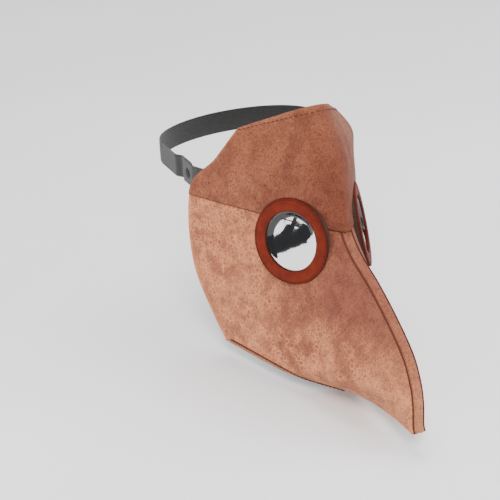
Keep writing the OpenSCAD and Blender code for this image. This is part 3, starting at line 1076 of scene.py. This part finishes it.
def make_ridge():
    """The strip of suede, foam and felt that joins the two cheeks along the ridge."""
    outside = ridge_layer("ridge_suede", 0, -suede_t, ridge_crown, strip_suede, ridge_groove, 0.25)
    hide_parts("ridge_strip")
    # Painted shade in the grooves along both sides of the strip
    mark_near(outside, [ridge_seam(side) for side in (RIGHT, LEFT)], 0.6, "seam")
    middle = ridge_layer("ridge_padding", -suede_t, foam_bottom, 0, layer_foam)
    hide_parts("ridge_foam")
    back = ridge_layer("ridge_felt", foam_bottom, lining_bottom, 0, felt)
    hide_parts("ridge_lining")


def make_eyes():
    """Ring, foam ring and film of both eyes."""
    for word, side in SIDES.items():
        ring = lathe(f"eye_ring_face_{word}", side, [ring_profile()] * ring_steps, rust_suede)
        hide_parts(f"eye_ring_{word}")
        # Painted shade along the ring's outer edge and along its inner edge by the film
        mark_near(ring, [eye_place(circle(r, 200), side) for r in (ring_d / 2 - 0.1, window_d / 2)], 0.9)
        base = eye_ring_base(f"eye_ring_foam_{word}", side, dark_foam)
        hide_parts(f"eye_ring_base_{word}")
        window = eye_window(f"eye_film_{word}", side, glossy_film)
        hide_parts(f"eye_window_{word}")


def shadow_cord(name, path, thickness, material):
    """A dark cord laid along a path of points, standing in as painted shade for the shadow in a sunken seam.
    """
    path = np.asarray(path, float)
    ahead = unit(np.gradient(path, axis=0))
    side = unit(np.cross(ahead, (0, 0, 1)))
    up = np.cross(side, ahead)
    size = thickness / 2 * (1 + 0.15 * np.sin(np.arange(len(path)) * 2.1))[:, None]
    turn = span(0, 2 * math.pi, 8)[:-1]
    rings = np.stack([path + size * (math.cos(a) * side + math.sin(a) * up) for a in turn], 1)
    return new_piece(name, *tube(rings), material)


def make_seam_lines():
    """Painted seam shadow: dark cords in the sunken seams on both sides of the ridge strip, under the lapped
    forehead edge, and along the hems, where the cord is partly the sewn line and partly its groove's shade.
    """
    for word, side in SIDES.items():
        v = BELOW_BRIDGE
        beside_strip = mirrored(shell_point(strip_u(v), v, 0.1), side)
        shadow_cord(f"ridge_seam_{word}", beside_strip, 1.1, seam_shadow_cord)
        shadow_cord(f"hem_seam_{word}", hem_line(side, 0.35), 1.0, seam_shadow_cord)
        u = span(0.05, 1, 240)
        under_lap = shell_point(u, BRIDGE + lap + 0.012, 0.15)
        shadow_cord(f"lap_seam_{word}", mirrored(under_lap, side), 0.5, seam_shadow_cord)


def make_stitches():
    """Topstitching on the forehead, hems, ring edges and tabs."""
    rows = [rib_seam(0.01, 0.98, 0.11, topstitch_pitch, suede_t + 0.05, side) for side in (RIGHT, LEFT)]
    top = stitches("forehead_topstitch", rows, topstitch_w, brown_thread)
    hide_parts("forehead_stitches")
    hem_lines = {side: hem_line(side, hem_t + 0.05, 0.12) for side in (RIGHT, LEFT)}
    hem_rows = [even_line(line, hem_stitch_pitch, side) for side, line in hem_lines.items()]
    stitches("hem_topstitch", hem_rows, fine_stitch_w, rust_thread)
    ring_rows = []
    for side in (RIGHT, LEFT):
        loop = eye_place(circle(ring_d / 2 - ring_stitch_in, 66, -0.05), side)
        loop = np.concatenate([loop, loop[:1]])
        out = eye_place([(0, 0, 1)], side) - eye_place([(0, 0, 0)], side)
        ring_rows.append((loop, np.repeat(out, len(loop), 0)))
    stitches("ring_stitches", ring_rows, fine_stitch_w, rust_thread)
    on_tab = tab_inner - strap_t - 0.1
    tab_rows = [
        rib_seam(0.87, 0.97, v, tab_stitch_pitch, on_tab, side)
        for side in (RIGHT, LEFT)
        for v in span(TAB_TOP + 0.06, BRIDGE - 0.08, 2)
    ]
    sewn = stitches("tab_stitches", tab_rows, topstitch_w, brown_thread)
    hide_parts("strap_stitches")


def make_strap():
    """The tabs, the elastic loop, its doubled end and the slider."""
    path = strap_path()
    loop = band("elastic_loop", path, strap_half_heights(path), strap_t, elastic, "strap")
    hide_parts("elastic_strap")
    tail_path = [(run_x + strap_t, y, strap_z) for y in span(run_start, run_end, 30)]
    tail = band("elastic_tail", tail_path, strap_w / 2, strap_t - 0.1, elastic, "strap")
    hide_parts("strap_tail")
    for word, side in SIDES.items():
        tab = strap_tab(f"webbing_tab_{word}", side, webbing)
        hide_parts(f"strap_tab_{word}")
        tack = strap_tack(f"thread_tack_{word}", side, black_thread)
        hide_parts(f"strap_tack_{word}")
    slider = rounded_copy("slider_frame", "strap_slider", 0.45, slider_plastic, "slider")
    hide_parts("strap_slider")


for side_word, mask_side in SIDES.items():
    make_cheek(side_word, mask_side)
make_forehead()
make_ridge()
make_eyes()
make_seam_lines()
make_stitches()
make_strap()

# ---- Floor, light and camera ----

low, high = (Vector(corner) for corner in cad_box)
box_middle = (low + high) / 2
box_length = high.y - low.y
# How far off the camera stands and where it aims from the box's middle, in box lengths
camera_off = 3.1685
camera_aim = Vector((-0.1683, -0.0296, 0.0041))
camera_azimuth = math.radians(-23.8)
camera_elevation = math.radians(25.8)
camera_roll = math.radians(-2.8)
floor_gap = 0.002


def flat_square(name, size, material):
    mesh = bpy.data.meshes.new(name)
    half = size / 2
    corners = [(-half, -half, 0), (half, -half, 0), (half, half, 0), (-half, half, 0)]
    mesh.from_pydata(corners, [], [(0, 1, 2, 3)])
    mesh.materials.append(material)
    square = bpy.data.objects.new(name, mesh)
    bpy.context.scene.collection.objects.link(square)
    return square


def soft_light(name, place, aim, width, height, power, colour=(1, 1, 1)):
    """A rectangular lamp. Places are in metres from the frame's origin, between the eyes."""
    lamp = bpy.data.lights.new(name, "AREA")
    lamp.shape = "RECTANGLE"
    lamp.size, lamp.size_y = width, height
    lamp.energy = power
    lamp.color = colour
    light = bpy.data.objects.new(name, lamp)
    light.location = place
    light.visible_camera = False
    light.rotation_euler = (Vector(aim) - Vector(place)).to_track_quat("-Z", "Y").to_euler()
    bpy.context.scene.collection.objects.link(light)


def make_studio():
    """A pale floor, an even sky, three large lamps, and a low one that the windows reflect."""
    floor = flat_square("floor", 12, pale_floor)
    floor.location.z = low.z - floor_gap
    world = bpy.data.worlds.new("studio")
    bpy.context.scene.world = world
    world.use_nodes = True
    sky = world.node_tree.nodes["Background"]
    sky.inputs["Color"].default_value = (0.9, 0.93, 1.0, 1)
    sky.inputs["Strength"].default_value = 0.5
    soft_light("key", (-0.7, -1.6, 1.7), (0, 0, 0), 1.0, 1.0, 62, (1, 0.98, 0.95))
    soft_light("fill", (1.6, -0.9, 1.2), (0, 0, 0), 1.2, 1.0, 32)
    soft_light("overhead", (0.2, 0.6, 2.2), (0, 0, 0), 1.6, 1.6, 45)
    soft_light("low_box", (-0.63, 0.03, -0.068), (-0.033, 0, -0.01), 0.3, 0.1, 2.6)


def make_camera():
    """The photograph's viewing angle: from the wearer's right, a little above."""
    aim = box_middle + camera_aim * box_length
    level = Vector((math.cos(camera_azimuth), math.sin(camera_azimuth), 0))
    outward_level = Vector((level.y, -level.x, 0))
    back = outward_level * math.cos(camera_elevation) + Vector((0, 0, math.sin(camera_elevation)))
    upward = back.cross(level)
    right_axis = level * math.cos(camera_roll) + upward * math.sin(camera_roll)
    up_axis = back.cross(right_axis)
    lens = bpy.data.cameras.new("camera")
    lens.lens = 100
    lens.sensor_width = 36
    camera = bpy.data.objects.new("camera", lens)
    turned = Matrix((right_axis, up_axis, back)).transposed().to_4x4()
    camera.matrix_world = Matrix.Translation(aim + back * camera_off * box_length) @ turned
    bpy.context.scene.collection.objects.link(camera)
    bpy.context.scene.camera = camera


make_studio()
make_camera()
